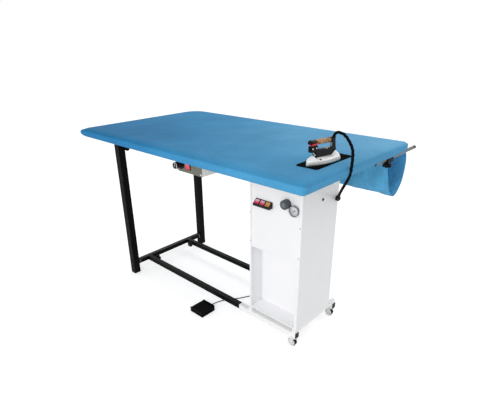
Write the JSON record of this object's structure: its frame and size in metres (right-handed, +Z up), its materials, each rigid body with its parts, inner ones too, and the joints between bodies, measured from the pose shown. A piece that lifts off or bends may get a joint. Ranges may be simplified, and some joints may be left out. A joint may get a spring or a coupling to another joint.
{
  "type": "vacuum ironing table",
  "caption": "Free-standing vacuum ironing table with padded top, side steam cabinet, corded steam iron, foot switch and rear linen trough.",
  "frame": {"origin": "on the floor under the middle of the table and its trough arms", "axes": "+Z up, +Y from the operator's side to the trough, +X towards the steam cabinet"},
  "size_m": [1.421, 0.956, 0.9867],
  "materials": {
    "cover_cloth": "woven blue cotton",
    "foam": "open-cell foam",
    "plate_metal": "perforated sheet",
    "pan_metal": "grey paint",
    "rotor_metal": "sheet",
    "motor_metal": "painted casting",
    "frame_black": "black powder coat",
    "frame_white": "white powder coat",
    "black_plastic": "matte black",
    "bright_steel": "zinc plated",
    "caster_plastic": "white plastic",
    "caster_tyre": "black rubber",
    "cabinet_paint": "white powder coat",
    "console_black": "black plastic",
    "rocker_red": "translucent red",
    "rocker_amber": "translucent amber",
    "knob_grey": "dark grey",
    "gauge_metal": "plated steel",
    "needle_black": "black paint",
    "gauge_glass": "clear",
    "boiler_steel": "stainless",
    "valve_brass": "cast brass",
    "box_paint": "light beige paint",
    "sole_aluminium": "ground aluminium",
    "iron_casting": "cast aluminium",
    "iron_black": "black phenolic",
    "cork": "cork",
    "lever_red": "red plastic",
    "mat_rubber": "black silicone",
    "hose_rubber": "black rubber",
    "cable_rubber": "black sheath",
    "pedal_plastic": "black plastic",
    "arm_metal": "grey-brown paint",
    "rod_steel": "steel",
    "trough_fabric": "light grey-blue cotton"
  },
  "bodies": {
    "frame": {"table_cover": "cover_cloth", "table_pad": "foam", "table_work_plate": "plate_metal", "table_pan": "pan_metal", "fan_housing": "pan_metal", "fan_motor": "motor_metal", "leg_front": "frame_black", "leg_rear": "frame_black", "leg_feet": "black_plastic", "leg_brackets": "frame_black", "cross_tube": "frame_black", "cross_bolts": "bright_steel", "long_tubes": "frame_black", "base_tubes": "frame_white", "base_tube_caps": "black_plastic", "base_rails": "frame_white", "cabinet_shell": "cabinet_paint", "cabinet_front_panel": "cabinet_paint", "cabinet_niche": "cabinet_paint", "case_screws": "bright_steel", "rocker_console": "console_black", "gauge_case": "gauge_metal", "gauge_lens": "gauge_glass", "side_grommet": "black_plastic", "hose_gland": "hose_rubber", "cable_gland": "black_plastic", "boiler": "boiler_steel", "steam_valve": "valve_brass", "control_box": "box_paint", "iron_mat": "mat_rubber", "steam_hose": "hose_rubber", "pedal_base": "pedal_plastic", "pedal_cable": "cable_rubber", "trough_brackets": "frame_black"},
    "fan": {"fan_rotor": "rotor_metal"},
    "star_knob_front": {"star_knob_front": "black_plastic"},
    "star_knob_rear": {"star_knob_rear": "black_plastic"},
    "caster_fork_front": {"caster_fork_front": "caster_plastic"},
    "caster_fork_rear": {"caster_fork_rear": "caster_plastic"},
    "caster_wheel_front": {"caster_wheel_front": "caster_tyre"},
    "caster_wheel_rear": {"caster_wheel_rear": "caster_tyre"},
    "rocker_red_left": {"rocker_red_left": "rocker_red"},
    "rocker_red_middle": {"rocker_red_middle": "rocker_red"},
    "rocker_amber": {"rocker_amber": "rocker_amber"},
    "regulator_knob": {"regulator_knob": "knob_grey"},
    "gauge_needle": {"gauge_needle": "needle_black"},
    "thermostat_knob": {"thermostat_knob": "black_plastic"},
    "main_rocker": {"main_rocker": "rocker_red"},
    "iron": {"iron_soleplate": "sole_aluminium", "iron_body": "iron_casting", "iron_handle": "iron_black", "iron_grip": "cork"},
    "iron_lever": {"iron_lever": "lever_red"},
    "pedal_treadle": {"pedal_treadle": "pedal_plastic"},
    "trough": {"trough_arms": "arm_metal", "trough_arm_tips": "black_plastic", "trough_rods": "rod_steel", "trough_cloth": "trough_fabric"},
    "trough_knob_left": {"trough_knob_left": "black_plastic"},
    "trough_knob_right": {"trough_knob_right": "black_plastic"}
  },
  "joints": [
    {"name": "fan_spin", "type": "hinge", "parent": "frame", "child": "fan", "pos_m": [0, -0.088, 0.7978], "axis": [0, 0, 1], "continuous": true},
    {"name": "star_knob_front_turn", "type": "hinge", "parent": "frame", "child": "star_knob_front", "pos_m": [-0.5195, -0.241, 0.0635], "axis": [0, 1, 0], "range_deg": [0, 360]},
    {"name": "star_knob_rear_turn", "type": "hinge", "parent": "frame", "child": "star_knob_rear", "pos_m": [-0.5195, 0.046, 0.0635], "axis": [0, 1, 0], "range_deg": [0, 360]},
    {"name": "caster_front_swivel", "type": "hinge", "parent": "frame", "child": "caster_fork_front", "pos_m": [0.54, -0.2535, 0.051], "axis": [0, 0, 1], "continuous": true},
    {"name": "caster_front_roll", "type": "hinge", "parent": "caster_fork_front", "child": "caster_wheel_front", "pos_m": [0.53, -0.2535, 0.02], "axis": [0, 1, 0], "continuous": true},
    {"name": "caster_rear_swivel", "type": "hinge", "parent": "frame", "child": "caster_fork_rear", "pos_m": [0.54, 0.0585, 0.051], "axis": [0, 0, 1], "continuous": true},
    {"name": "caster_rear_roll", "type": "hinge", "parent": "caster_fork_rear", "child": "caster_wheel_rear", "pos_m": [0.53, 0.0585, 0.02], "axis": [0, 1, 0], "continuous": true},
    {"name": "rocker_red_left_rock", "type": "hinge", "parent": "frame", "child": "rocker_red_left", "pos_m": [0.322, -0.2665, 0.6585], "axis": [1, 0, 0], "range_deg": [-16, 0]},
    {"name": "rocker_red_middle_rock", "type": "hinge", "parent": "frame", "child": "rocker_red_middle", "pos_m": [0.351, -0.2665, 0.6585], "axis": [1, 0, 0], "range_deg": [-16, 0]},
    {"name": "rocker_amber_rock", "type": "hinge", "parent": "frame", "child": "rocker_amber", "pos_m": [0.38, -0.2665, 0.6585], "axis": [1, 0, 0], "range_deg": [-16, 0]},
    {"name": "regulator_turn", "type": "hinge", "parent": "frame", "child": "regulator_knob", "pos_m": [0.472, -0.253, 0.683], "axis": [0, 1, 0], "range_deg": [0, 270]},
    {"name": "gauge_needle_turn", "type": "hinge", "parent": "frame", "child": "gauge_needle", "pos_m": [0.511, -0.255, 0.662], "axis": [0, 1, 0], "range_deg": [0, 270]},
    {"name": "thermostat_turn", "type": "hinge", "parent": "frame", "child": "thermostat_knob", "pos_m": [-0.035, -0.378, 0.7803], "axis": [0, 1, 0], "range_deg": [0, 270]},
    {"name": "main_rocker_rock", "type": "hinge", "parent": "frame", "child": "main_rocker", "pos_m": [0.0115, -0.38, 0.7768], "axis": [1, 0, 0], "range_deg": [-16, 0]},
    {"name": "iron_slide", "type": "slide", "parent": "frame", "child": "iron", "axis": [0, -0.95, 0.3122], "range_m": [0, 0.12]},
    {"name": "iron_lever_press", "type": "hinge", "parent": "iron", "child": "iron_lever", "pos_m": [0.608, -0.28035, 0.95295], "axis": [-1, 0, 0], "range_deg": [0, 5], "stiffness_Nm_per_rad": 0.3, "springref_deg": -5.73},
    {"name": "pedal_press", "type": "hinge", "parent": "frame", "child": "pedal_treadle", "pos_m": [0.0245, -0.322, 0.014], "axis": [1, 0, 0], "range_deg": [0, 4], "stiffness_Nm_per_rad": 1.5, "springref_deg": -5.73},
    {"name": "trough_slide", "type": "slide", "parent": "frame", "child": "trough", "axis": [0, 1, 0], "range_m": [0, 0.09]},
    {"name": "trough_knob_left_turn", "type": "hinge", "parent": "frame", "child": "trough_knob_left", "pos_m": [-0.638, 0.193, 0.798], "axis": [0, 0, 1], "range_deg": [0, 360]},
    {"name": "trough_knob_right_turn", "type": "hinge", "parent": "frame", "child": "trough_knob_right", "pos_m": [0.67, 0.193, 0.798], "axis": [0, 0, 1], "range_deg": [0, 360]}
  ]
}
